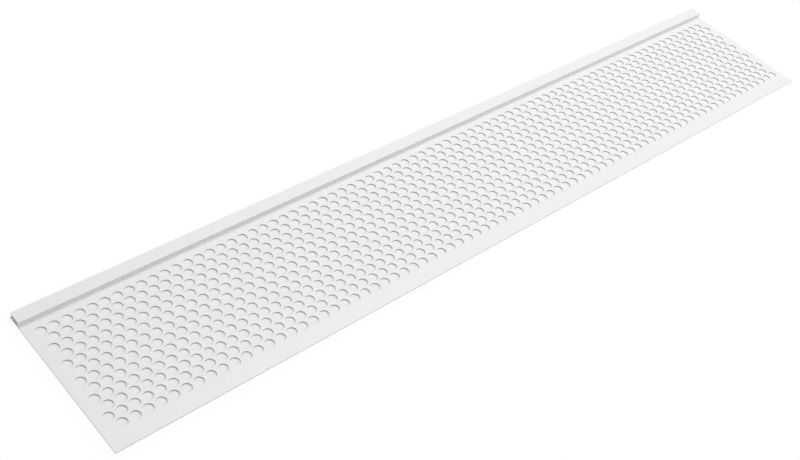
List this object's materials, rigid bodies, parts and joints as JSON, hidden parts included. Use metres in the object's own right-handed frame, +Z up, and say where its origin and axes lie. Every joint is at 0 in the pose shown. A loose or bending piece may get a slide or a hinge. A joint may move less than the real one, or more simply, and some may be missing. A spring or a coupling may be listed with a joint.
{
  "type": "gutter guard",
  "caption": "Flat white vinyl gutter guard: a long perforated sheet with staggered round drain holes and an open clip lip along one long edge.",
  "frame": {"origin": "middle of the sheet's underside, on the floor it lies on", "axes": "+X along the sheet's length, +Y across it towards the clip lip, +Z up out of the sheet's top face"},
  "size_m": [0.9144, 0.1568, 0.0069],
  "materials": {
    "white_vinyl": "satin"
  },
  "bodies": {
    "root": {"gutter_guard": "white_vinyl"}
  },
  "joints": []
}
